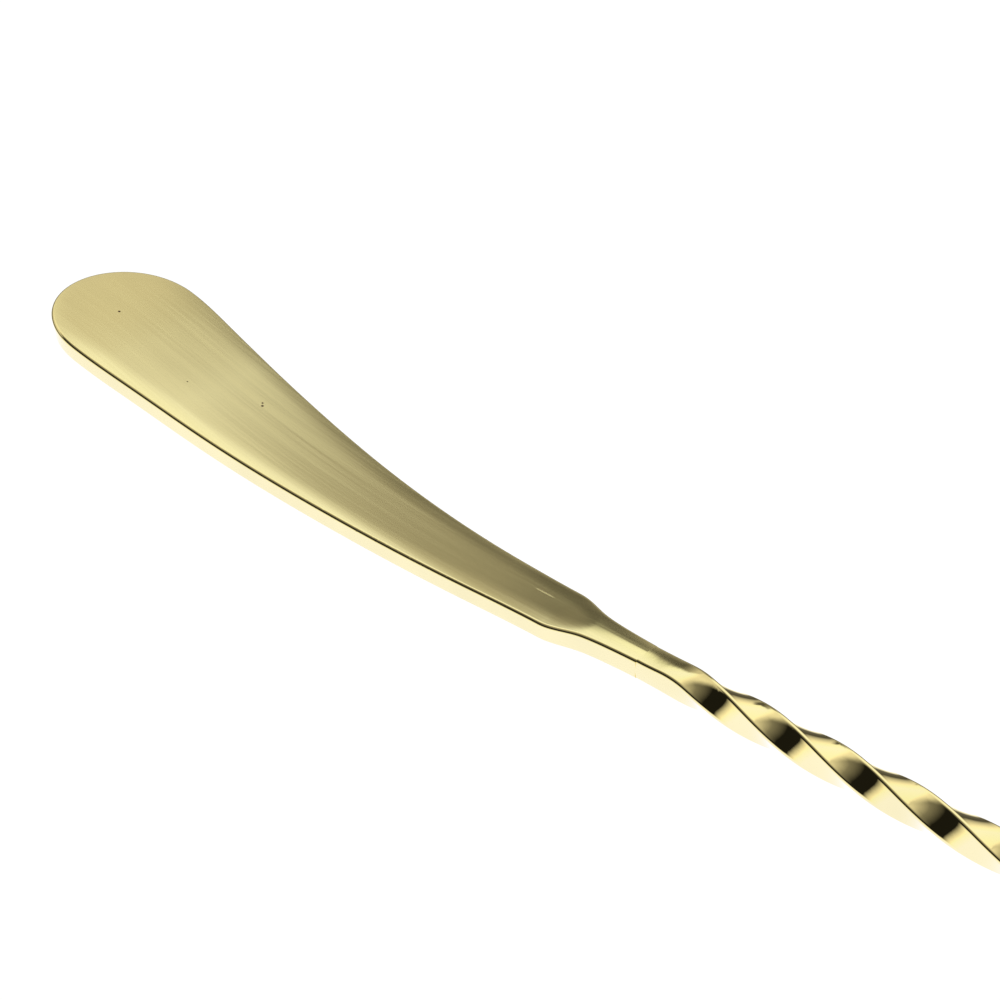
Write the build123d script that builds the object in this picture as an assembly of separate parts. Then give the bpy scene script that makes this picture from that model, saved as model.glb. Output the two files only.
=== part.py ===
from build123d import *
import math
import os

# Bar spoon: a flat upswept paddle, a right-hand twisted square stem and a pressed bowl, brazed
# end to end. Millimetres, +Z up, the stem along +X from the paddle to the bowl. The model is
# drawn with x = 0 at the paddle's shoulders and z = 0 on the stem's axis, then set down so that
# the origin is at the middle of the bounding box's floor. The paddle lies towards -X, so its
# lengths are measured from the shoulders backwards.

# Square bar
BAR_SIDE = 3.6
BAR_CORNER_RADIUS = 0.45

# Paddle, seen from above: an elliptical tip, then sides that taper to the shoulders
PADDLE_LENGTH = 90.2
PADDLE_TIP_LENGTH = 11.2
PADDLE_TIP_HALF_WIDTH = 10.3
# (distance from the shoulders, half width), from the broad end to the narrow one
PADDLE_HALF_WIDTHS = ((70.0, 9.58), (54.0, 7.89), (38.0, 6.21), (22.0, 4.89), (10.0, 4.2), (3.2, 3.99))
SHOULDER_TANGENT = (1, -0.01)

# Paddle, seen from the side: flat, swept up, straight, then eased back down at the tip
PADDLE_THICKNESS = 2.6
PADDLE_BEND_START = 13.0
PADDLE_BEND_RADIUS = 205.0
PADDLE_SLOPE_DEG = 14.0
PADDLE_STRAIGHT = 12.0
PADDLE_TIP_BEND_RADIUS = 126.0
PADDLE_TIP_TURN_DEG = 9.0
PADDLE_EDGE_RADIUS = BAR_CORNER_RADIUS

# Neck, from the shoulders to the seam: a flat bar not yet square
NECK_LENGTH = 10.0
NECK_SIZE = (4.04, 2.86)
NECK_START = 2.4
NECK_START_HALF_WIDTH = 2.58
NECK_START_TANGENT = (1, -0.16)
NECK_MIDDLE = (6.0, 2.21)
NECK_END_TANGENT = (1, -0.03)
NECK_RISE_START = -3.0

# Twist
TWIST_PITCH = 40.0
TWIST_TURNS = 4
TWIST_START = 13.0
TWIST_EASE_LENGTH = 4.0
TWIST_EASE_STEPS = 4
SQUARE_FROM = 21.0
STEM_ROOT_STEP = 1.0
STEM_PLAIN_END = 3.0

# Bowl
BOWL_LENGTH = 44.0
BOWL_WIDTH = 27.0
BOWL_DEPTH = 8.0
BOWL_WALL = 1.1
BOWL_REAR_SHARE = 0.42
BOWL_CENTRE_RISE = 1.0
SHANK_LENGTH = 8.0
SHANK_WAIST_SIZE = (4.4, 3.2)
SHANK_WAIST_OVERLAP = 1.0
SHANK_ROOT_SIZE = (8.0, 2.6)
SHANK_ROOT_DEPTH = 5.0
SHANK_CORNER_RADIUS = 0.8

# Brazed joints: a round tenon in a blind socket, with filler metal all round
SEAM_THICKNESS = 0.15
TENON_DIAMETER = 1.8
TENON_LENGTH = 5.0
SOCKET_END_GAP = 0.4

# Worked out
SQUARE = (BAR_SIDE, BAR_SIDE)
HALF_BAR = BAR_SIDE / 2
HALF_PLATE = PADDLE_THICKNESS / 2
HALF_NECK = NECK_SIZE[1] / 2
PADDLE_SLOPE = math.radians(PADDLE_SLOPE_DEG)
TWIST_LENGTH = TWIST_TURNS * TWIST_PITCH + TWIST_EASE_LENGTH
STEM_START = NECK_LENGTH + SEAM_THICKNESS
STEM_END = TWIST_START + TWIST_LENGTH + STEM_PLAIN_END
SHANK_START = STEM_END + SEAM_THICKNESS
BOWL_REAR = SHANK_START + SHANK_LENGTH
BOWL_REAR_HALF = BOWL_LENGTH * BOWL_REAR_SHARE
BOWL_FRONT_HALF = BOWL_LENGTH - BOWL_REAR_HALF
BOWL_BODY_DEPTH = BOWL_DEPTH + BOWL_CENTRE_RISE
RIM_SHARE = math.sqrt(1 - (BOWL_CENTRE_RISE / BOWL_BODY_DEPTH) ** 2)
BOWL_MIDDLE = BOWL_REAR + BOWL_REAR_HALF
RIM_HEIGHT = HALF_BAR
OVERALL_START = -PADDLE_LENGTH
OVERALL_END = BOWL_REAR + BOWL_LENGTH
SETTING = Location((-(OVERALL_START + OVERALL_END) / 2, 0, BOWL_DEPTH - RIM_HEIGHT))


def bar_section(x, size=SQUARE, corner=BAR_CORNER_RADIUS, height=0.0, turn=0.0):
    """A rounded rectangle across the stem at station x, turned right-handed about the stem."""
    plane = Plane(origin=(x, 0, height), x_dir=(0, 1, 0), z_dir=(1, 0, 0))
    return plane * Rot(0, 0, turn) * RectangleRounded(size[0], size[1], corner)


def bar_along_x(start, end, diameter):
    """A round bar along the stem's axis."""
    plane = Plane(origin=(start, 0, 0), x_dir=(0, 1, 0), z_dir=(1, 0, 0))
    return extrude(plane * Circle(diameter / 2), end - start)


def paddle_outline():
    """The paddle and neck seen from above: round tip, tapering sides, stepped shoulders."""
    widest = (-PADDLE_LENGTH + PADDLE_TIP_LENGTH, PADDLE_TIP_HALF_WIDTH)
    stations = [(-distance, half) for distance, half in PADDLE_HALF_WIDTHS]
    neck_start = (NECK_START, NECK_START_HALF_WIDTH)
    neck_end = (NECK_LENGTH, NECK_SIZE[0] / 2)
    with BuildSketch() as outline:
        with BuildLine():
            EllipticalCenterArc((widest[0], 0), PADDLE_TIP_LENGTH, PADDLE_TIP_HALF_WIDTH,
                                start_angle=90, arc_size=90)
            Spline(widest, *stations, tangents=[(1, 0), SHOULDER_TANGENT])
            Spline(stations[-1], neck_start, tangents=[SHOULDER_TANGENT, NECK_START_TANGENT])
            Spline(neck_start, NECK_MIDDLE, neck_end, tangents=[NECK_START_TANGENT, NECK_END_TANGENT])
            Line(neck_end, (NECK_LENGTH, 0))
            Line((NECK_LENGTH, 0), (-PADDLE_LENGTH, 0))
        make_face()
        mirror(about=Plane.XZ)
    return outline.sketch


def plate_line(height):
    """The plate's side view at a height above its middle: the ends and middles of its arcs."""
    sweep_radius = PADDLE_BEND_RADIUS - height
    tip_radius = PADDLE_TIP_BEND_RADIUS + height
    both_radii = PADDLE_BEND_RADIUS + PADDLE_TIP_BEND_RADIUS
    straight_run = PADDLE_STRAIGHT * math.cos(PADDLE_SLOPE)
    straight_rise = PADDLE_STRAIGHT * math.sin(PADDLE_SLOPE)
    tip_centre_x = -PADDLE_BEND_START - both_radii * math.sin(PADDLE_SLOPE) - straight_run
    tip_centre_z = PADDLE_BEND_RADIUS - both_radii * math.cos(PADDLE_SLOPE) + straight_rise

    def on_sweep(angle):
        return (-PADDLE_BEND_START - sweep_radius * math.sin(angle),
                PADDLE_BEND_RADIUS - sweep_radius * math.cos(angle))

    def on_tip(angle):
        return (tip_centre_x + tip_radius * math.sin(angle), tip_centre_z + tip_radius * math.cos(angle))

    tip_turn = math.radians(PADDLE_TIP_TURN_DEG)
    sweep = (on_sweep(0), on_sweep(PADDLE_SLOPE / 2), on_sweep(PADDLE_SLOPE))
    tip = (on_tip(PADDLE_SLOPE), on_tip(PADDLE_SLOPE - tip_turn / 2), on_tip(PADDLE_SLOPE - tip_turn))
    return sweep, tip


def paddle_profile():
    """The paddle and neck seen from the side: a plate of even thickness, then the thicker neck."""
    with BuildSketch(Plane.XZ) as profile:
        with BuildLine():
            ends = []
            for side in (1, -1):
                sweep, tip = plate_line(side * HALF_PLATE)
                rise_start = (NECK_RISE_START, side * HALF_PLATE)
                rise_end = (NECK_START, side * HALF_NECK)
                Line((NECK_LENGTH, side * HALF_NECK), rise_end)
                Spline(rise_end, rise_start, tangents=[(-1, 0), (-1, 0)])
                Line(rise_start, sweep[0])
                ThreePointArc(*sweep)
                Line(sweep[-1], tip[0])
                ThreePointArc(*tip)
                ends.append(tip[-1])
            Line(*ends)
            Line((NECK_LENGTH, HALF_NECK), (NECK_LENGTH, -HALF_NECK))
        make_face()
    return profile.sketch


def socket(mouth, direction):
    """The blind hole that takes a tenon and the filler metal round it."""
    depth = TENON_LENGTH + SOCKET_END_GAP
    return bar_along_x(min(mouth, mouth + direction * depth), max(mouth, mouth + direction * depth),
                       TENON_DIAMETER + 2 * SEAM_THICKNESS)


def paddle_end():
    """Upswept plate, shoulders and flat neck in one forging, with a socket in its end."""
    plan = extrude(paddle_outline(), PADDLE_LENGTH, both=True)
    side = extrude(paddle_profile(), 2 * PADDLE_TIP_HALF_WIDTH, both=True)
    forging = plan & side
    end_face = forging.faces().sort_by(Axis.X)[-1]
    rim = [edge for edge in forging.edges() if edge not in end_face.edges()]
    long_edges = [edge for edge in rim if (edge @ 0).X != (edge @ 1).X]
    forging = fillet(long_edges, PADDLE_EDGE_RADIUS)
    return forging - socket(NECK_LENGTH, -1)


def twisted_length(start, length, start_turn, turn):
    """One stretch of square bar that turns evenly from start_turn by turn, in degrees."""
    face = bar_section(start, turn=start_turn).face()
    return Solid.extrude_linear_with_rotation(face, (start, 0, 0), (length, 0, 0), turn)


def eased_turn(run):
    """Turn of the bar, in degrees, at a distance into the twist before its far end eases out."""
    rate = 360 / TWIST_PITCH
    if run < TWIST_EASE_LENGTH:
        return rate * max(run, 0) ** 2 / (2 * TWIST_EASE_LENGTH)
    return rate * (run - TWIST_EASE_LENGTH / 2)


def stem_root():
    """The stem's first stretch, where the flat neck grows square while it starts to turn."""
    count = math.ceil((SQUARE_FROM - STEM_START) / STEM_ROOT_STEP)
    sections = []
    for index in range(count + 1):
        share = index / count
        blend = share * share * (3 - 2 * share)
        x = STEM_START + (SQUARE_FROM - STEM_START) * share
        size = [flat + (BAR_SIDE - flat) * blend for flat in NECK_SIZE]
        sections.append(bar_section(x, size, turn=eased_turn(x - TWIST_START)))
    return loft(sections)


def twisted_stem():
    """Flat bar that grows square, twisted right-handed, with a tenon on each end."""
    step = TWIST_EASE_LENGTH / TWIST_EASE_STEPS
    easing_out = [(step, (index + 0.5) / TWIST_EASE_STEPS) for index in range(TWIST_EASE_STEPS)][::-1]
    position = SQUARE_FROM
    turned = eased_turn(SQUARE_FROM - TWIST_START)
    even_length = TWIST_START + TWIST_LENGTH - TWIST_EASE_LENGTH - SQUARE_FROM
    stem = stem_root()
    for length, share in [(even_length, 1.0)] + easing_out:
        turn = 360 / TWIST_PITCH * share * length
        stem += twisted_length(position, length, turned, turn)
        position += length
        turned += turn
    stem += extrude(bar_section(position, turn=turned), STEM_END - position)
    stem += bar_along_x(STEM_START - TENON_LENGTH, STEM_START, TENON_DIAMETER)
    stem += bar_along_x(STEM_END, STEM_END + TENON_LENGTH, TENON_DIAMETER)
    return stem


def bowl_body(inset):
    """An egg-shaped body whose part below the rim is the bowl's outside or inside."""
    half_width = BOWL_WIDTH / 2 / RIM_SHARE - inset
    rear = BOWL_REAR_HALF / RIM_SHARE - inset
    front = BOWL_FRONT_HALF / RIM_SHARE - inset
    with BuildSketch() as outline:
        with BuildLine():
            EllipticalCenterArc((0, 0), rear, half_width, start_angle=90, arc_size=90)
            EllipticalCenterArc((0, 0), front, half_width, start_angle=0, arc_size=90)
            Line((front, 0), (-rear, 0))
        make_face()
    egg = Rot(90, 0, 0) * revolve(outline.sketch, Axis.X)
    flatten = (BOWL_BODY_DEPTH - inset) / half_width
    return Pos(BOWL_MIDDLE, 0, RIM_HEIGHT + BOWL_CENTRE_RISE) * scale(egg, by=(1, 1, flatten))


def spoon_bowl():
    """Pressed bowl with a drawn-out shank that takes the stem's tenon."""
    waist = bar_section(BOWL_REAR - SHANK_WAIST_OVERLAP, SHANK_WAIST_SIZE, SHANK_CORNER_RADIUS,
                        RIM_HEIGHT - SHANK_WAIST_SIZE[1] / 2)
    root = bar_section(BOWL_REAR + SHANK_ROOT_DEPTH, SHANK_ROOT_SIZE, SHANK_CORNER_RADIUS,
                       RIM_HEIGHT - SHANK_ROOT_SIZE[1] / 2)
    shank = loft([bar_section(SHANK_START), waist, root])
    above_rim = Pos(BOWL_MIDDLE, 0, RIM_HEIGHT + BOWL_DEPTH) * Box(
        2 * BOWL_LENGTH, 2 * BOWL_WIDTH, 2 * BOWL_DEPTH)
    bowl = bowl_body(0) - above_rim + shank - bowl_body(BOWL_WALL)
    return bowl - socket(SHANK_START, 1)


def braze_seam(face_x, direction, size):
    """Filler metal: a thin layer between the ends and a sleeve round the tenon."""
    inner_face = face_x - direction * SEAM_THICKNESS
    layer = extrude(bar_section(min(face_x, inner_face), size), SEAM_THICKNESS)
    sleeve_end = face_x + direction * TENON_LENGTH - direction * SEAM_THICKNESS
    sleeve = bar_along_x(min(inner_face, sleeve_end), max(inner_face, sleeve_end),
                         TENON_DIAMETER + 2 * SEAM_THICKNESS)
    tenon = bar_along_x(face_x - 2 * TENON_LENGTH, face_x + 2 * TENON_LENGTH, TENON_DIAMETER)
    return layer + sleeve - tenon


NODES = {
    "paddle_end": paddle_end(),
    "twisted_stem": twisted_stem(),
    "spoon_bowl": spoon_bowl(),
    "paddle_braze_seam": braze_seam(NECK_LENGTH, -1, NECK_SIZE),
    "bowl_braze_seam": braze_seam(SHANK_START, 1, SQUARE),
}

os.makedirs("parts", exist_ok=True)
for name, shape in NODES.items():
    export_step(SETTING * shape, f"parts/{name}.step")
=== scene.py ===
import bpy
import bmesh
import math
import numpy as np
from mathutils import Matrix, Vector


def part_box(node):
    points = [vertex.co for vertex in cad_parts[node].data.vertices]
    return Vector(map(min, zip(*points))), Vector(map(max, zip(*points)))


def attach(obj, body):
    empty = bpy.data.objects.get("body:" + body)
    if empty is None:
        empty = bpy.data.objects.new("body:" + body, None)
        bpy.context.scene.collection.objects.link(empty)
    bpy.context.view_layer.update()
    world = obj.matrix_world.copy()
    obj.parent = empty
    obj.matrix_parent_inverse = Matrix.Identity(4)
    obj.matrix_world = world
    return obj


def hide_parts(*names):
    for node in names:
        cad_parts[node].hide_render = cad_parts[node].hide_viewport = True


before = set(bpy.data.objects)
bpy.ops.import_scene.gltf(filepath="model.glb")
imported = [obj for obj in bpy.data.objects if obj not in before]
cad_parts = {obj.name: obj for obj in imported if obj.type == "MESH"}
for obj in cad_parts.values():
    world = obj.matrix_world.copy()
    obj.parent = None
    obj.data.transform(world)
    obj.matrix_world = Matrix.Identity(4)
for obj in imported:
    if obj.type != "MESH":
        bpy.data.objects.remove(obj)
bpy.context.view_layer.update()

# Lengths are in millimetres, and MM turns them into the frame's metres. Drawn points have their
# origin at the paddle's shoulders on the stem's axis, with X along the stem towards the bowl.
MM = 0.001
MERGE_DISTANCE = 0.002
SHARP_ANGLE = math.radians(40.0)

# Square bar
BAR_SIDE = 3.6
BAR_CORNER_RADIUS = 0.45
CORNER_STEPS = 8
FLAT_STEPS = 8

# Paddle, seen from above; its half widths are at distances from the shoulders
PADDLE_LENGTH = 90.2
PADDLE_TIP_LENGTH = 11.2
PADDLE_TIP_HALF_WIDTH = 10.3
PADDLE_HALF_WIDTHS = ((70.0, 9.58), (54.0, 7.89), (38.0, 6.21), (22.0, 4.89), (10.0, 4.2), (3.2, 3.99))
SHOULDER_TANGENT = (1, -0.01)
TIP_STEPS = 56
SIDE_STEPS = 24
STEPS_ACROSS = 32
EDGE_STEPS = 8
WALL_STEPS = 4

# Paddle, seen from the side
PADDLE_THICKNESS = 2.6
PADDLE_BEND_START = 13.0
PADDLE_BEND_RADIUS = 205.0
PADDLE_SLOPE = math.radians(14.0)
PADDLE_STRAIGHT = 12.0
PADDLE_TIP_BEND_RADIUS = 126.0
PADDLE_EDGE_RADIUS = BAR_CORNER_RADIUS
HALF_PLATE = PADDLE_THICKNESS / 2

# Wear from polishing: the flat faces fall away a little towards their edges
CROWN_DROP = 0.11
CROWN_WIDTH = 2.2
BAR_BULGE = 0.08

# Neck
NECK_LENGTH = 10.0
NECK_SIZE = (4.04, 2.86)
NECK_START = 2.4
NECK_START_HALF_WIDTH = 2.58
NECK_START_TANGENT = (1, -0.16)
NECK_MIDDLE = (6.0, 2.21)
NECK_END_TANGENT = (1, -0.03)
NECK_RISE_START = -3.0
NECK_STEPS = 12

# Stem and its twist
TWIST_PITCH = 40.0
TWIST_TURNS = 4
TWIST_START = 13.0
TWIST_EASE_LENGTH = 4.0
TWIST_LENGTH = TWIST_TURNS * TWIST_PITCH + TWIST_EASE_LENGTH
SQUARE_FROM = 21.0
STEM_PLAIN_END = 3.0
STEM_STATIONS = 520
SEAM_THICKNESS = 0.15
STEM_START = NECK_LENGTH + SEAM_THICKNESS
STEM_END = TWIST_START + TWIST_LENGTH + STEM_PLAIN_END

# Bowl and shank
BOWL_LENGTH = 44.0
BOWL_WIDTH = 27.0
BOWL_DEPTH = 8.0
BOWL_WALL = 1.1
BOWL_REAR_SHARE = 0.42
BOWL_CENTRE_RISE = 1.0
SHANK_LENGTH = 8.0
SHANK_WAIST_SIZE = (4.4, 3.2)
SHANK_WAIST_OVERLAP = 1.0
SHANK_ROOT_SIZE = (8.0, 2.6)
SHANK_ROOT_DEPTH = 5.0
SHANK_CORNER_RADIUS = 0.8
SHANK_STATIONS = 40
SHANK_START = STEM_END + SEAM_THICKNESS
BOWL_REAR = SHANK_START + SHANK_LENGTH
RIM_HEIGHT = BAR_SIDE / 2
RIM_ROUND = 0.4
RIM_STEPS = 16
BOWL_STEPS_AROUND = 192
BOWL_RINGS = 60
BOWL_SHARP_ANGLE = math.radians(35.0)

paddle_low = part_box("paddle_end")[0]
stem_low, stem_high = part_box("twisted_stem")
DRAWN_ORIGIN = Vector((paddle_low[0] + PADDLE_LENGTH * MM, 0.0, (stem_low[2] + stem_high[2]) / 2))


# ---------------------------------------------------------------- curves

def clamped_spline(points, first_direction, last_direction, count):
    """A smooth curve through points with given end directions, count points to each span."""
    points = np.array(points, dtype=float)
    chords = np.linalg.norm(np.diff(points, axis=0), axis=1)
    size = len(points)
    matrix = np.zeros((size, size))
    right = np.zeros((size, 2))
    matrix[0, 0] = matrix[-1, -1] = 1.0
    right[0] = np.array(first_direction) / np.linalg.norm(first_direction)
    right[-1] = np.array(last_direction) / np.linalg.norm(last_direction)
    for i in range(1, size - 1):
        before, after = chords[i - 1], chords[i]
        matrix[i, i - 1:i + 2] = after, 2 * (before + after), before
        right[i] = 3 * (after * (points[i] - points[i - 1]) / before
                        + before * (points[i + 1] - points[i]) / after)
    slopes = np.linalg.solve(matrix, right)
    spans = []
    t = (np.arange(count) / count)[:, None]
    for i in range(size - 1):
        first, last = slopes[i] * chords[i], slopes[i + 1] * chords[i]
        spans.append((2 * t**3 - 3 * t**2 + 1) * points[i] + (t**3 - 2 * t**2 + t) * first
                     + (3 * t**2 - 2 * t**3) * points[i + 1] + (t**3 - t**2) * last)
    return np.vstack(spans)


def through_three(stations, values, x):
    """The parabola that has these values at three stations, at x."""
    total = 0.0
    for i, value in enumerate(values):
        first, second = [stations[j] for j in range(3) if j != i]
        weight = (x - first) * (x - second) / ((stations[i] - first) * (stations[i] - second))
        total += value * weight
    return total


def smooth_step(value):
    """0 to 1 with level ends."""
    value = min(max(value, 0.0), 1.0)
    return value * value * (3 - 2 * value)


def between(start, end, steps):
    """Points that divide the way from start to end into steps, without either end."""
    start, end = np.array(start), np.array(end)
    return [tuple(start + (end - start) * step / steps) for step in range(1, steps)]


def on_circle(angle):
    """The point of a circle of radius 1 at an angle."""
    return np.array((math.cos(angle), math.sin(angle)))


def direction_to(azimuth_deg, elevation_deg=0.0):
    """Unit vector at an azimuth from -Y towards +X and an elevation above the floor."""
    azimuth = math.radians(azimuth_deg)
    elevation = math.radians(elevation_deg)
    return Vector((math.sin(azimuth) * math.cos(elevation), -math.cos(azimuth) * math.cos(elevation),
                   math.sin(elevation)))


# ---------------------------------------------------------------- meshes

def shade(mesh, sharp_angle):
    """Smooth shading, with a crease wherever two faces meet at more than sharp_angle."""
    mesh.polygons.foreach_set("use_smooth", [True] * len(mesh.polygons))
    mesh.set_sharp_from_angle(angle=sharp_angle)


def tube(name, rows, first_end=True, last_end=True):
    """An object whose skin runs through rows of drawn points, with a flat face on each wanted end."""
    columns = len(rows[0])
    faces = []
    for row in range(len(rows) - 1):
        for j in range(columns):
            k = (j + 1) % columns
            here, there = row * columns, (row + 1) * columns
            faces.append((here + j, here + k, there + k, there + j))
    if first_end:
        faces.append(tuple(range(columns))[::-1])
    if last_end:
        faces.append(tuple((len(rows) - 1) * columns + j for j in range(columns)))
    points = [DRAWN_ORIGIN + Vector(point) * MM for row in rows for point in row]
    mesh = bpy.data.meshes.new(name)
    mesh.from_pydata(points, [], faces)
    work = bmesh.new()
    work.from_mesh(mesh)
    bmesh.ops.remove_doubles(work, verts=work.verts, dist=MERGE_DISTANCE * MM)
    bmesh.ops.recalc_face_normals(work, faces=work.faces)
    work.to_mesh(mesh)
    work.free()
    shade(mesh, SHARP_ANGLE)
    piece = bpy.data.objects.new(name, mesh)
    bpy.context.scene.collection.objects.link(piece)
    return piece


def rounded_section(width, height, corner):
    """Points of a rounded rectangle in (y, z), with sides a little convex from polishing."""
    reach = np.array((width, height)) / 2 - BAR_BULGE - corner
    centres = [reach * signs for signs in ((1, 1), (-1, 1), (-1, -1), (1, -1))]
    points = []
    for quarter, centre in enumerate(centres):
        angles = math.pi / 2 * (quarter + np.arange(CORNER_STEPS + 1) / CORNER_STEPS)
        points += [centre + corner * on_circle(angle) for angle in angles]
        side_start = points[-1]
        side = centres[(quarter + 1) % 4] - centre
        for step in range(1, FLAT_STEPS):
            share = step / FLAT_STEPS
            swell = BAR_BULGE * (1 - (2 * share - 1) ** 2)
            points.append(side_start + side * share + on_circle(angles[-1]) * swell)
    return np.array(points)


def turned(section, x, turn, height=0.0):
    """A section at station x, turned right-handed about the stem by turn radians."""
    y = section[:, 0] * math.cos(turn) - section[:, 1] * math.sin(turn)
    z = section[:, 0] * math.sin(turn) + section[:, 1] * math.cos(turn) + height
    return np.column_stack((np.full(len(section), x), y, z))


# ---------------------------------------------------------------- paddle and neck

def paddle_side():
    """The outline of one side, from the tip's end to the neck's end, as (x, y)."""
    widest = (-PADDLE_LENGTH + PADDLE_TIP_LENGTH, PADDLE_TIP_HALF_WIDTH)
    share = 1 - np.cos(np.arange(TIP_STEPS) / TIP_STEPS * math.pi / 2)
    angle = math.pi - share * math.pi / 2
    tip = np.column_stack((widest[0] + PADDLE_TIP_LENGTH * np.cos(angle),
                           PADDLE_TIP_HALF_WIDTH * np.sin(angle)))
    stations = [(-distance, half) for distance, half in PADDLE_HALF_WIDTHS]
    neck_start = (NECK_START, NECK_START_HALF_WIDTH)
    neck_end = (NECK_LENGTH, NECK_SIZE[0] / 2)
    neck_points = [neck_start, NECK_MIDDLE, neck_end]
    side = clamped_spline([widest] + stations, (1, 0), SHOULDER_TANGENT, SIDE_STEPS)
    shoulder = clamped_spline([stations[-1], neck_start], SHOULDER_TANGENT, NECK_START_TANGENT, SIDE_STEPS)
    neck = clamped_spline(neck_points, NECK_START_TANGENT, NECK_END_TANGENT, NECK_STEPS)
    return np.vstack((tip, side, shoulder, neck, [neck_end]))


def plate_height(x, side):
    """Height at x of the plate's top (side 1), middle (0) or underside (-1), as far as the neck."""
    height = side * HALF_PLATE
    sweep_radius = PADDLE_BEND_RADIUS - height
    both_radii = PADDLE_BEND_RADIUS + PADDLE_TIP_BEND_RADIUS
    run, rise = PADDLE_STRAIGHT * math.cos(PADDLE_SLOPE), PADDLE_STRAIGHT * math.sin(PADDLE_SLOPE)
    tip_x = -PADDLE_BEND_START - both_radii * math.sin(PADDLE_SLOPE) - run
    tip_z = PADDLE_BEND_RADIUS - both_radii * math.cos(PADDLE_SLOPE) + rise
    tip_radius = PADDLE_TIP_BEND_RADIUS + height
    sweep_end = -PADDLE_BEND_START - sweep_radius * math.sin(PADDLE_SLOPE)
    tip_start = tip_x + tip_radius * math.sin(PADDLE_SLOPE)
    if x > -PADDLE_BEND_START:
        neck_rise = (NECK_SIZE[1] / 2 - HALF_PLATE) * side
        return height + neck_rise * smooth_step((x - NECK_RISE_START) / (NECK_START - NECK_RISE_START))
    if x > sweep_end:
        return PADDLE_BEND_RADIUS - math.sqrt(sweep_radius**2 - (x + PADDLE_BEND_START) ** 2)
    if x > tip_start:
        sweep_top = PADDLE_BEND_RADIUS - sweep_radius * math.cos(PADDLE_SLOPE)
        return sweep_top + (sweep_end - x) * math.tan(PADDLE_SLOPE)
    return tip_z + math.sqrt(tip_radius**2 - (x - tip_x) ** 2)


def edge_point(point, inward, angle, side):
    """A point of the rounded edge at one side of the plate, for an outline point."""
    place = point + inward * PADDLE_EDGE_RADIUS * (1 - math.sin(angle))
    drop = PADDLE_EDGE_RADIUS * (1 - math.cos(angle)) + CROWN_DROP
    return (place[0], max(place[1], 0.0), plate_height(place[0], side) - side * drop)


def crowned(start, end, side, outline):
    """Points across a flat face, from one rounded edge to the other, highest in its middle."""
    points = []
    for x, y, z in between(start, end, STEPS_ACROSS):
        reach = np.hypot(outline[:, 0] - x, outline[:, 1] - abs(y)).min() - PADDLE_EDGE_RADIUS
        fall = max(1 - reach / CROWN_WIDTH, 0.0) ** 2
        points.append((x, y, z + side * CROWN_DROP * (1 - fall)))
    return points


def paddle_end():
    """The paddle and neck: cross rows follow the outline, and each wraps over both edges."""
    outline = paddle_side()
    tangents = np.gradient(outline, axis=0)
    tangents[0] = (0.0, 1.0)
    tangents[-1] = (1.0, 0.0)
    tangents /= np.linalg.norm(tangents, axis=1)[:, None]
    inward = np.column_stack((tangents[:, 1], -tangents[:, 0]))
    angles = np.linspace(0, math.pi / 2, EDGE_STEPS + 1)
    rows = []
    for point, way_in in zip(outline, inward):
        upper = [edge_point(point, way_in, angle, 1) for angle in angles]
        lower = [edge_point(point, way_in, angle, -1) for angle in angles[::-1]]
        right = upper + between(upper[-1], lower[0], WALL_STEPS) + lower
        left = [(x, -y, z) for x, y, z in right[::-1]]
        under = crowned(right[-1], left[0], -1, outline)
        over = crowned(left[-1], right[0], 1, outline)
        rows.append(right + under + left + over)
    return tube("paddle", rows, first_end=False)


# ---------------------------------------------------------------- twisted stem

def stem_turn(x):
    """Turn of the bar at station x, in radians: an even twist eased in and out."""
    rate = 2 * math.pi / TWIST_PITCH
    run = max(x - TWIST_START, 0.0)
    left = max(TWIST_START + TWIST_LENGTH - x, 0.0)
    if run < TWIST_EASE_LENGTH:
        return rate * run * run / (2 * TWIST_EASE_LENGTH)
    if left > TWIST_EASE_LENGTH:
        return rate * (run - TWIST_EASE_LENGTH / 2)
    return rate * (TWIST_LENGTH - TWIST_EASE_LENGTH - left * left / (2 * TWIST_EASE_LENGTH))


def twisted_stem():
    """Flat bar that grows square while it starts to turn, then an even right-hand twist."""
    rows = []
    for x in np.linspace(STEM_START, STEM_END, STEM_STATIONS):
        blend = smooth_step((x - STEM_START) / (SQUARE_FROM - STEM_START))
        width, height = [flat + (BAR_SIDE - flat) * blend for flat in NECK_SIZE]
        rows.append(turned(rounded_section(width, height, BAR_CORNER_RADIUS), x, stem_turn(x)))
    return tube("stem", rows)


def seam(name, start, size):
    """The thin layer of filler metal that shows between two pieces."""
    section = rounded_section(size[0], size[1], BAR_CORNER_RADIUS)
    return tube(name, [turned(section, x, 0.0) for x in (start, start + SEAM_THICKNESS)])


# ---------------------------------------------------------------- bowl and shank

def bowl_ring(inset, tau):
    """A level ring of the bowl's egg shape, shrunk by inset; tau is 0 at the bottom."""
    rim_share = math.sqrt(1 - (BOWL_CENTRE_RISE / (BOWL_DEPTH + BOWL_CENTRE_RISE)) ** 2)
    half_width = BOWL_WIDTH / 2 / rim_share - inset
    rear = BOWL_LENGTH * BOWL_REAR_SHARE / rim_share - inset
    front = BOWL_LENGTH * (1 - BOWL_REAR_SHARE) / rim_share - inset
    depth = BOWL_DEPTH + BOWL_CENTRE_RISE - inset
    middle = BOWL_REAR + BOWL_LENGTH * BOWL_REAR_SHARE
    phi = np.arange(BOWL_STEPS_AROUND) * 2 * math.pi / BOWL_STEPS_AROUND
    reach = np.where(np.cos(phi) > 0, front, rear)
    return np.column_stack((middle + reach * np.cos(phi) * math.sin(tau),
                            half_width * np.sin(phi) * math.sin(tau),
                            np.full(len(phi), RIM_HEIGHT + BOWL_CENTRE_RISE - depth * math.cos(tau))))


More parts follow.
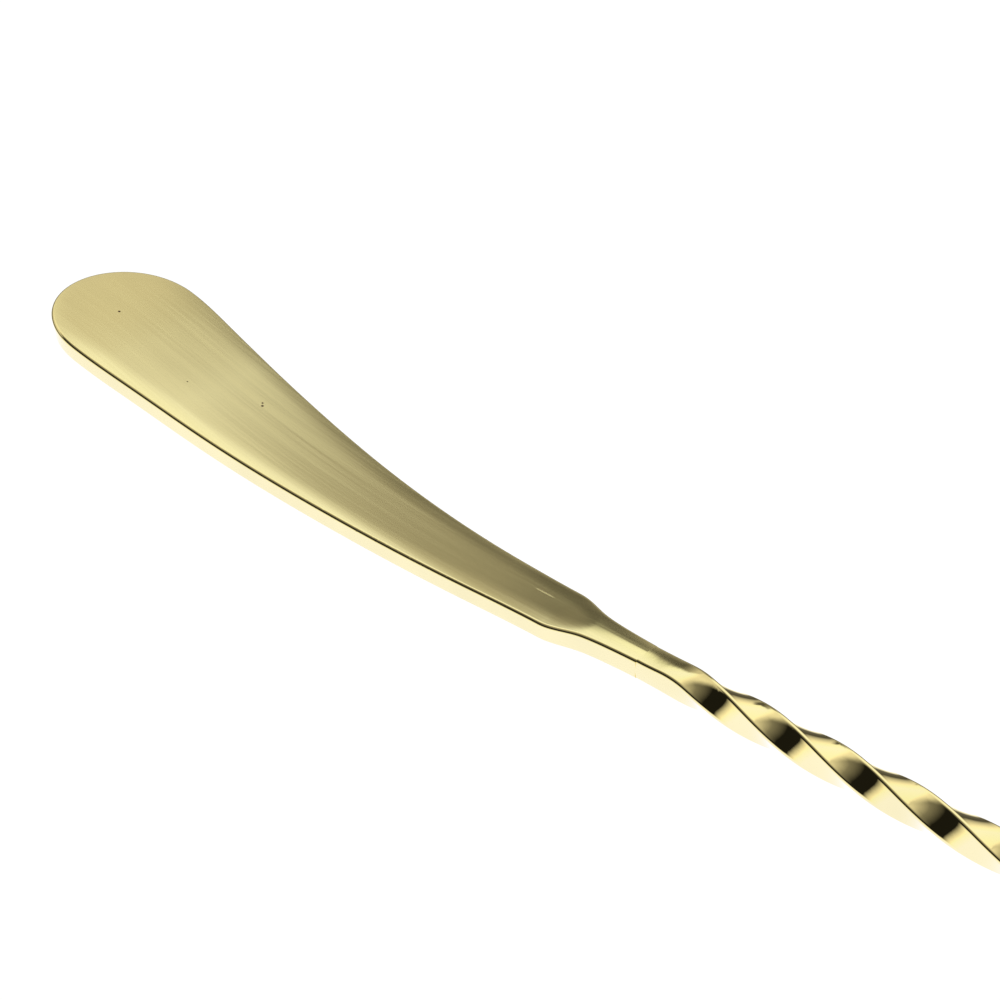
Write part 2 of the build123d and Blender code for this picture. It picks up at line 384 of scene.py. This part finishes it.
def tau_at(inset, height):
    """How far up the egg shape the ring at this height is."""
    depth = BOWL_DEPTH + BOWL_CENTRE_RISE - inset
    return math.acos((RIM_HEIGHT + BOWL_CENTRE_RISE - height) / depth)


def inside_egg():
    """The space inside the middle of the bowl's wall, closed at the egg's widest ring."""
    rows = [bowl_ring(BOWL_WALL / 2, tau) for tau in np.linspace(0, math.pi / 2, BOWL_RINGS)]
    return tube("inside", rows, first_end=False)


def bowl_shell():
    """The bowl's wall: up the outside, over a rounded rim, and down the inside."""
    outside = tau_at(0.0, RIM_HEIGHT - RIM_ROUND)
    inside = tau_at(BOWL_WALL, RIM_HEIGHT - RIM_ROUND)
    rows = [bowl_ring(0.0, tau) for tau in np.linspace(0, outside, BOWL_RINGS)]
    outer_rim, inner_rim = bowl_ring(0.0, outside), bowl_ring(BOWL_WALL, inside)
    for angle in np.linspace(0, math.pi, RIM_STEPS + 1)[1:-1]:
        across = RIM_ROUND / BOWL_WALL * (1 - abs(math.cos(angle)))
        share = across if angle < math.pi / 2 else 1 - across
        row = outer_rim + (inner_rim - outer_rim) * share
        row[:, 2] = RIM_HEIGHT - RIM_ROUND * (1 - math.sin(angle))
        rows.append(row)
    rows += [bowl_ring(BOWL_WALL, tau) for tau in np.linspace(inside, 0, BOWL_RINGS)]
    return tube("bowl", rows, first_end=False, last_end=False)


def shank():
    """The bar between the seam and the bowl: square, then wide and flat where it enters the bowl."""
    stations = (SHANK_START, BOWL_REAR - SHANK_WAIST_OVERLAP, BOWL_REAR + SHANK_ROOT_DEPTH)
    widths = (BAR_SIDE, SHANK_WAIST_SIZE[0], SHANK_ROOT_SIZE[0])
    heights = (BAR_SIDE, SHANK_WAIST_SIZE[1], SHANK_ROOT_SIZE[1])
    corners = (BAR_CORNER_RADIUS, SHANK_CORNER_RADIUS, SHANK_CORNER_RADIUS)
    sizes = (widths, heights, corners)
    rows = []
    for x in np.linspace(stations[0], stations[-1], SHANK_STATIONS):
        width, height, corner = [through_three(stations, values, x) for values in sizes]
        rows.append(turned(rounded_section(width, height, corner), x, 0.0, RIM_HEIGHT - height / 2))
    return tube("shank", rows)


def combine(base, other, operation):
    """Joins or cuts other into base, and removes other."""
    modifier = base.modifiers.new("combine", "BOOLEAN")
    modifier.operation = operation
    modifier.solver = "EXACT"
    modifier.object = other
    result = bpy.data.meshes.new_from_object(base.evaluated_get(bpy.context.evaluated_depsgraph_get()))
    base.modifiers.clear()
    base.data = result
    bpy.data.objects.remove(other)


def spoon_bowl():
    """The bowl with its shank, which ends inside the bowl's wall."""
    bowl = bowl_shell()
    root = shank()
    combine(root, inside_egg(), "DIFFERENCE")
    combine(bowl, root, "UNION")
    shade(bowl.data, BOWL_SHARP_ANGLE)
    return bowl


paddle = paddle_end()
stem = twisted_stem()
paddle_seam = seam("seam_paddle", NECK_LENGTH, NECK_SIZE)
bowl_seam = seam("seam_bowl", STEM_END, (BAR_SIDE, BAR_SIDE))
bowl = spoon_bowl()


# ---------------------------------------------------------------- materials

# Noise scales are features per metre, and *_NOISE is the part of the noise's range that is used.
# Bump heights are millimetres.
SOFT_DETAIL = 2.0
FINE_DETAIL = 3.0
EVEN = (1.0, 1.0, 1.0)

# The plating's colour is a little darker in soft patches
PLATE_COLOUR = (0.90, 0.75, 0.33)
TONE_SCALE = 160.0
TONE_NOISE = (0.3, 0.7)
SATIN_TONE_STRETCH = (0.3, 1.0, 0.3)
SATIN_DARKEST = 0.94
POLISHED_DARKEST = 0.95

# Polished plating has slow waves left by the wheel, and is duller near the neck
WAVE_SCALE = 1100.0
WAVE_STRENGTH = 0.35
WAVE_HEIGHT = 0.0125
SHEEN_SCALE = 900.0
SHEEN_NOISE = (0.35, 0.75)
POLISHED_ROUGHNESS = (0.02, 0.05)
NECK_ROUGHNESS = 0.12
POLISH_FADE = 14.0

# The paddle's narrow sides have small pits too, most of them along one stretch
PIT_SCALE = 2200.0
PIT_NOISE = (0.26, 0.38)
PIT_DEPTH = 0.04
PITTED_WAVE_SHARE = 0.25
PITTED_STRETCH = (-38.0, -14.0)
PITTED_FADE = 8.0
SPARSE_PITS = 0.08

# The paddle's flat faces are brushed along the spoon, and the brushing fades out at the neck
FINE_BRUSH_SCALE = 3000.0
FINE_BRUSH_STRETCH = (0.015, 1.0, 0.015)
FINE_BRUSH_SHARE = 0.6
BROAD_BRUSH_SCALE = 700.0
BROAD_BRUSH_STRETCH = (0.03, 1.0, 0.03)
BROAD_BRUSH_SHARE = 0.4
BRUSH_NOISE = (0.35, 0.65)
BRUSH_CONTRAST = (0.8, 1.25)
BRUSH_STRENGTH = 0.3
BRUSH_HEIGHT = 0.01
SATIN_ROUGHNESS = 0.26
FLAT_FACE_TILT = math.radians(9.5)
SLOPE_STEP = 0.1

# Small faults in the paddle's plating, seen from above: pits as (x, y, radius), and one scratch
PITS = ((-81.0, -0.7, 0.22), (-65.3, -2.7, 0.13), (-56.8, 2.5, 0.17), (-56.4, 2.1, 0.22))
PIT_COLOUR = (0.12, 0.07, 0.03, 1.0)
SCRATCH_MIDDLE = (-6.3, 0.9)
SCRATCH_HALF_SIZE = (2.0, 0.16)
SCRATCH_ROUGHNESS = 0.3
# A mark is solid out to this share of its radius, squared
MARK_SOLID = 0.3


class Nodes:
    """Short ways to add and join the nodes of one shader."""

    def __init__(self, owner):
        owner.use_nodes = True
        self.tree = owner.node_tree

    def set(self, socket, value):
        """Gives a socket a number or another node's output."""
        if isinstance(value, bpy.types.NodeSocket):
            self.tree.links.new(value, socket)
        else:
            socket.default_value = value

    def add(self, kind, *inputs, **settings):
        """A new node, with its inputs in the node's own order."""
        node = self.tree.nodes.new(kind)
        for name, value in settings.items():
            setattr(node, name, value)
        for socket, value in zip(node.inputs, inputs):
            self.set(socket, value)
        return node

    def math(self, operation, *inputs):
        return self.add("ShaderNodeMath", *inputs, operation=operation).outputs[0]

    def map(self, value, old, new, smooth=False):
        """value moved from the range old to the range new, and held at its ends."""
        interpolation = "SMOOTHSTEP" if smooth else "LINEAR"
        node = self.add("ShaderNodeMapRange", value, *old, *new, interpolation_type=interpolation)
        return node.outputs["Result"]

    def place(self, kind):
        """The X, Y and Z of the shaded point in one of the texture coordinates."""
        return self.add("ShaderNodeSeparateXYZ", self.add("ShaderNodeTexCoord").outputs[kind]).outputs

    def noise(self, scale, detail, stretch=EVEN):
        """Noise over the piece, stretched by axis."""
        mapping = self.add("ShaderNodeMapping", self.add("ShaderNodeTexCoord").outputs["Object"])
        mapping.inputs["Scale"].default_value = stretch
        noise = self.add("ShaderNodeTexNoise", mapping.outputs["Vector"])
        noise.inputs["Scale"].default_value = scale
        noise.inputs["Detail"].default_value = detail
        return noise.outputs["Fac"]

    def bump(self, height, strength, distance):
        node = self.add("ShaderNodeBump")
        self.set(node.inputs["Height"], height)
        node.inputs["Strength"].default_value = strength
        node.inputs["Distance"].default_value = distance * MM
        return node.outputs["Normal"]


def plated(name, colour, roughness, normal):
    """The gold-coloured plating; its colour, roughness and normal come from functions of its nodes."""
    material = bpy.data.materials.new(name)
    nodes = Nodes(material)
    shader = material.node_tree.nodes["Principled BSDF"]
    shader.inputs["Metallic"].default_value = 1.0
    nodes.set(shader.inputs["Base Color"], colour(nodes))
    nodes.set(shader.inputs["Roughness"], roughness(nodes))
    nodes.set(shader.inputs["Normal"], normal(nodes))
    return material


def along(*stations):
    """Drawn stations along the spoon as the frame's X."""
    return tuple(DRAWN_ORIGIN.x + x * MM for x in stations)


def toned_plate(nodes, darkest, stretch):
    """The plating's colour in patches that are no darker than darkest."""
    tone = nodes.map(nodes.noise(TONE_SCALE, SOFT_DETAIL, stretch), TONE_NOISE, (darkest, 1.0))
    plate = nodes.add("ShaderNodeVectorMath", PLATE_COLOUR, operation="SCALE")
    nodes.set(plate.inputs["Scale"], tone)
    return plate.outputs["Vector"]


def mark(nodes, middle, half_size):
    """1 inside an oval of the paddle seen from above, and 0 outside it, with a soft edge."""
    place = nodes.place("Object")
    squares = []
    for axis, origin, centre, half in zip("XY", DRAWN_ORIGIN, middle, half_size):
        away = nodes.math("SUBTRACT", place[axis], origin + centre * MM)
        share = nodes.math("DIVIDE", away, half * MM)
        squares.append(nodes.math("MULTIPLY", share, share))
    return nodes.map(nodes.math("ADD", *squares), (1.0, MARK_SOLID), (0.0, 1.0), smooth=True)


def brushed(nodes):
    """Fine scratches along the spoon, in bundles."""
    fine = nodes.noise(FINE_BRUSH_SCALE, FINE_DETAIL, FINE_BRUSH_STRETCH)
    broad = nodes.noise(BROAD_BRUSH_SCALE, FINE_DETAIL, BROAD_BRUSH_STRETCH)
    return nodes.math("ADD", nodes.math("MULTIPLY", fine, FINE_BRUSH_SHARE),
                      nodes.math("MULTIPLY", broad, BROAD_BRUSH_SHARE))


def satin_colour(nodes):
    """The plating with the paddle's dark pits."""
    pitted = 0.0
    for x, y, radius in PITS:
        pitted = nodes.math("MAXIMUM", pitted, mark(nodes, (x, y), (radius, radius)))
    plate = toned_plate(nodes, SATIN_DARKEST, SATIN_TONE_STRETCH)
    return nodes.add("ShaderNodeMixRGB", pitted, plate, PIT_COLOUR).outputs["Color"]


def satin_roughness(nodes):
    """Most matt at the tip, and nearly polished at the neck."""
    x = nodes.place("Object")["X"]
    matt = nodes.map(x, along(-PADDLE_LENGTH, 0.0), (SATIN_ROUGHNESS, NECK_ROUGHNESS))
    brushed_matt = nodes.math("MULTIPLY", matt, nodes.map(brushed(nodes), BRUSH_NOISE, BRUSH_CONTRAST))
    scratch = nodes.math("MULTIPLY", mark(nodes, SCRATCH_MIDDLE, SCRATCH_HALF_SIZE), SCRATCH_ROUGHNESS)
    return nodes.math("MAXIMUM", brushed_matt, scratch)


def satin_normal(nodes):
    return nodes.bump(brushed(nodes), BRUSH_STRENGTH, BRUSH_HEIGHT)


def polished_colour(nodes):
    return toned_plate(nodes, POLISHED_DARKEST, EVEN)


def polished_roughness(nodes):
    """Bright all along the stem, but a little duller where it leaves the neck."""
    fade = along(STEM_START, STEM_START + POLISH_FADE)
    dull = nodes.map(nodes.place("Object")["X"], fade, (NECK_ROUGHNESS, 0.0), smooth=True)
    bright = nodes.map(nodes.noise(SHEEN_SCALE, FINE_DETAIL), SHEEN_NOISE, POLISHED_ROUGHNESS)
    return nodes.math("MAXIMUM", dull, bright)


def polished_normal(nodes):
    return nodes.bump(nodes.noise(WAVE_SCALE, SOFT_DETAIL), WAVE_STRENGTH, WAVE_HEIGHT)


def pitted_normal(nodes):
    """The wheel's waves, and small pits that it did not reach."""
    waves = nodes.math("MULTIPLY", nodes.noise(WAVE_SCALE, SOFT_DETAIL), PITTED_WAVE_SHARE)
    x = nodes.place("Object")["X"]
    first, last = PITTED_STRETCH
    pitted = nodes.math("MULTIPLY", nodes.map(x, along(first - PITTED_FADE, first), (SPARSE_PITS, 1.0)),
                        nodes.map(x, along(last, last + PITTED_FADE), (1.0, SPARSE_PITS)))
    pits = nodes.map(nodes.noise(PIT_SCALE, SOFT_DETAIL), PIT_NOISE, (1.0, 0.0))
    height = nodes.math("SUBTRACT", waves, nodes.math("MULTIPLY", pits, pitted))
    return nodes.bump(height, WAVE_STRENGTH, PIT_DEPTH)


satin = plated("satin_plate", satin_colour, satin_roughness, satin_normal)
polished = plated("polished_plate", polished_colour, polished_roughness, polished_normal)
pitted_edge = plated("pitted_edge", polished_colour, polished_roughness, pitted_normal)


def on_flat_face(face):
    """Whether a face of the paddle is part of its brushed top or underside."""
    x = (face.center.x - DRAWN_ORIGIN.x) / MM
    rise = plate_height(x + SLOPE_STEP, 0) - plate_height(x - SLOPE_STEP, 0)
    square_to_plate = Vector((-rise / (2 * SLOPE_STEP), 0.0, 1.0)).normalized()
    return abs(face.normal.dot(square_to_plate)) > math.cos(FLAT_FACE_TILT)


paddle.data.materials.append(satin)
paddle.data.materials.append(pitted_edge)
for face in paddle.data.polygons:
    face.material_index = 0 if on_flat_face(face) else 1
for piece in (stem, paddle_seam, bowl_seam, bowl):
    piece.data.materials.append(polished)

for piece, node, slot in (
    (paddle, "paddle_end", "satin_plate"),
    (stem, "twisted_stem", "polished_plate"),
    (bowl, "spoon_bowl", "polished_plate"),
    (paddle_seam, "paddle_braze_seam", "braze_filler"),
    (bowl_seam, "bowl_braze_seam", "braze_filler"),
):
    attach(piece, "root")
    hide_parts(node)


# ---------------------------------------------------------------- floor and card

STAGE_REACH = 3000.0
STAGE_BRIGHTNESS = 1.05

# The grey card's levels and fades are by its own width, from the tip's end, and its own height,
# each from 0 to 1
CARD_AZIMUTH_DEG = -141.0
CARD_FACES_X = -60.0
CARD_DISTANCE = 160.0
CARD_HALF_WIDTH = 90.0
CARD_HEIGHT = 225.0
CARD_DARK, CARD_PALE = 0.11, 0.68
CARD_GRADED = (0.38, 0.75)
CARD_NECK_END_FADE = (1.0, 0.86)
CARD_TIP_END_FADE = (0.0, 0.15)
CARD_TOP_FADE = (1.0, 0.85)
CARD_FOOT_FADE = (0.3, 0.5)
CARD_SLANT = (0.55, 0.8)
CARD_LOW_TOP = 0.72


def stage_sheet(name, corners, faces):
    """An evenly bright sheet of the studio, which isn't part of the spoon."""
    mesh = bpy.data.meshes.new(name)
    mesh.from_pydata(corners, [], faces)
    sheet = bpy.data.objects.new(name, mesh)
    bpy.context.scene.collection.objects.link(sheet)
    material = bpy.data.materials.new(name)
    material.use_nodes = True
    shader = material.node_tree.nodes["Principled BSDF"]
    shader.inputs["Base Color"].default_value = (0.0, 0.0, 0.0, 1.0)
    shader.inputs["Roughness"].default_value = 1.0
    shader.inputs["Specular IOR Level"].default_value = 0.0
    shader.inputs["Emission Color"].default_value = (1.0, 1.0, 1.0, 1.0)
    shader.inputs["Emission Strength"].default_value = STAGE_BRIGHTNESS
    mesh.materials.append(material)
    return sheet


def white_surroundings():
    """A white floor, walls and ceiling that only the camera sees; the metal mirrors the world."""
    signs = ((-1, -1), (1, -1), (1, 1), (-1, 1))
    reach = STAGE_REACH * MM
    low = [(x * reach, y * reach, 0.0) for x, y in signs]
    high = [(x * reach, y * reach, reach) for x, y in signs]
    walls = [(i, (i + 1) % 4, 4 + (i + 1) % 4, 4 + i) for i in range(4)]
    ceiling = (4, 5, 6, 7)
    floor = stage_sheet("floor", low, [(0, 1, 2, 3)])
    backdrop = stage_sheet("backdrop", low + high, walls + [ceiling])
    for sheet in (floor, backdrop):
        sheet.visible_glossy = False
        sheet.visible_diffuse = False
        sheet.visible_shadow = False


def grey_card():
    """A card beyond the paddle, where the paddle's flat face mirrors it.

    It is dark at the neck's end, pale at the tip's end, and fades out at its edges.
    """
    away = direction_to(CARD_AZIMUTH_DEG)
    right = Vector((away.y, -away.x, 0.0)) * CARD_HALF_WIDTH * MM
    foot = Vector((DRAWN_ORIGIN.x + CARD_FACES_X * MM, 0.0, 0.0)) + away * CARD_DISTANCE * MM
    top = Vector((0.0, 0.0, CARD_HEIGHT * MM))
    corners = [foot - right, foot + right, foot + right + top, foot - right + top]
    card = stage_sheet("card", corners, [(0, 1, 2, 3)])
    card.visible_camera = False
    corner_places = card.data.uv_layers.new(name="across_and_up").data
    for corner, place in zip(corner_places, ((0, 0), (1, 0), (1, 1), (0, 1))):
        corner.uv = place
    nodes = Nodes(card.data.materials[0])
    place = nodes.place("UV")
    across, up = place["X"], place["Y"]
    level = nodes.map(across, CARD_GRADED, (CARD_PALE, CARD_DARK))
    slanted_up = nodes.math("DIVIDE", up, nodes.map(across, CARD_SLANT, (1.0, CARD_LOW_TOP)))
    there = 1.0
    fades = ((across, CARD_NECK_END_FADE), (across, CARD_TIP_END_FADE), (slanted_up, CARD_TOP_FADE),
             (up, CARD_FOOT_FADE))
    for value, fade in fades:
        there = nodes.math("MULTIPLY", there, nodes.map(value, fade, (0.0, 1.0), smooth=True))
    shader = card.data.materials[0].node_tree.nodes["Principled BSDF"]
    nodes.set(shader.inputs["Emission Strength"], level)
    nodes.set(shader.inputs["Alpha"], there)


white_surroundings()
grey_card()


# ---------------------------------------------------------------- light

# Brightness of the world at elevations in degrees. The lit side is a white tent, grey at the
# horizon, over a white table; the camera's side is a dark room between the table and the tent.
LIT_SIDE = ((-90, 2.4), (-30, 2.0), (-13, 1.0), (-5, 0.15), (11, 0.08), (19, 0.55), (32, 1.1), (47, 1.5),
            (90, 1.1))
DARK_SIDE = ((-90, 2.4), (-30, 2.0), (-10, 1.45), (1, 0.8), (11, 0.012), (38, 0.012), (60, 0.23),
             (75, 0.62), (90, 1.05))
RAMP_PEAK = 2.5

# The tent's left end is less bright
TENT_END_AZIMUTHS = (-128.0, -100.0)
TENT_END_BRIGHTNESS = 0.66
TENT_FOOT_ELEVATIONS = (10.0, 30.0)

# The tent's front edge leans away from the camera as it rises, and blurs both there and on the table
TENT_EDGE_ELEVATIONS = (30.0, 60.0)
TENT_EDGE_AZIMUTHS = (-55.0, -93.0)
TENT_BLUR_ELEVATIONS = (32.0, 52.0)
TENT_BLUR = (3.0, 18.0)
TABLE_BLUR_ELEVATIONS = (0.0, -10.0)
TABLE_BLUR = (3.0, 30.0)
TENT_BACK_AZIMUTHS = (120.0, 160.0)

# The brightest light is a cooler white, so that the plating turns cream there and not yellow
BRIGHTEST_LIGHT = (1.12, 1.22, 1.8)


def brightness_by_height(nodes, elevation, stops):
    """Brightness at an elevation in degrees, as a share of RAMP_PEAK.

    The stops' positions come first, so that they are in order when they get their colours.
    """
    node = nodes.add("ShaderNodeValToRGB", nodes.map(elevation, (-90.0, 90.0), (0.0, 1.0)))
    elements = node.color_ramp.elements
    while len(elements) < len(stops):
        elements.new(0.5)
    for element, (degrees, _) in zip(elements, stops):
        element.position = (degrees + 90.0) / 180.0
    for element, (_, bright) in zip(elements, stops):
        element.color = (bright / RAMP_PEAK,) * 3 + (1.0,)
    return node.outputs["Color"]


def share_in_dark(nodes, azimuth, elevation):
    """1 towards the dark room and 0 towards the tent, with a soft edge between them."""
    edge = nodes.map(elevation, TENT_EDGE_ELEVATIONS, TENT_EDGE_AZIMUTHS)
    blur = nodes.math("MAXIMUM", nodes.map(elevation, TENT_BLUR_ELEVATIONS, TENT_BLUR),
                      nodes.map(elevation, TABLE_BLUR_ELEVATIONS, TABLE_BLUR))
    from_edge = nodes.math("DIVIDE", nodes.math("SUBTRACT", azimuth, edge), blur)
    past_edge = nodes.map(from_edge, (-1.0, 1.0), (0.0, 1.0), smooth=True)
    behind = nodes.map(azimuth, TENT_BACK_AZIMUTHS, (0.0, 1.0), smooth=True)
    return nodes.math("SUBTRACT", past_edge, behind)


def studio_light():
    """The world's light by direction: the lit side, the dark side, and the edge between them."""
    world = bpy.data.worlds.new("studio")
    bpy.context.scene.world = world
    nodes = Nodes(world)
    way = nodes.place("Generated")
    elevation = nodes.math("DEGREES", nodes.math("ARCSINE", way["Z"]))
    towards_minus_y = nodes.math("MULTIPLY", way["Y"], -1.0)
    azimuth = nodes.math("DEGREES", nodes.math("ARCTAN2", way["X"], towards_minus_y))
    tent_end = nodes.map(azimuth, TENT_END_AZIMUTHS, (1.0, TENT_END_BRIGHTNESS), smooth=True)
    above_foot = nodes.map(elevation, TENT_FOOT_ELEVATIONS, (0.0, 1.0))
    change = nodes.math("MULTIPLY", above_foot, nodes.math("SUBTRACT", tent_end, 1.0))
    tent = brightness_by_height(nodes, elevation, LIT_SIDE)
    lit = nodes.math("MULTIPLY", tent, nodes.math("ADD", 1.0, change))
    dark = brightness_by_height(nodes, elevation, DARK_SIDE)
    difference = nodes.math("SUBTRACT", dark, lit)
    in_dark = share_in_dark(nodes, azimuth, elevation)
    total = nodes.math("ADD", lit, nodes.math("MULTIPLY", difference, in_dark))
    capped = [nodes.math("MINIMUM", total, part / RAMP_PEAK) for part in BRIGHTEST_LIGHT]
    background = world.node_tree.nodes["Background"]
    nodes.set(background.inputs["Color"], nodes.add("ShaderNodeCombineColor", *capped).outputs["Color"])
    background.inputs["Strength"].default_value = RAMP_PEAK


studio_light()
bpy.context.scene.view_settings.view_transform = "Standard"


# ---------------------------------------------------------------- camera

# It looks down at the paddle from its lower long side
CAMERA_AZIMUTH_DEG = 42.94
CAMERA_ELEVATION_DEG = 33.0
CAMERA_DISTANCE = 270.0
CAMERA_TARGET = (-12.24, -0.48, 12.30)
CAMERA_LENS = 84.0
CAMERA_SENSOR_WIDTH = 36.0

towards_camera = direction_to(CAMERA_AZIMUTH_DEG, CAMERA_ELEVATION_DEG)
camera_data = bpy.data.cameras.new("camera")
camera_data.lens = CAMERA_LENS
camera_data.sensor_width = CAMERA_SENSOR_WIDTH
camera = bpy.data.objects.new("camera", camera_data)
bpy.context.scene.collection.objects.link(camera)
target = DRAWN_ORIGIN + Vector(CAMERA_TARGET) * MM
camera.location = target + towards_camera * CAMERA_DISTANCE * MM
camera.rotation_euler = towards_camera.to_track_quat("Z", "Y").to_euler()
bpy.context.scene.camera = camera
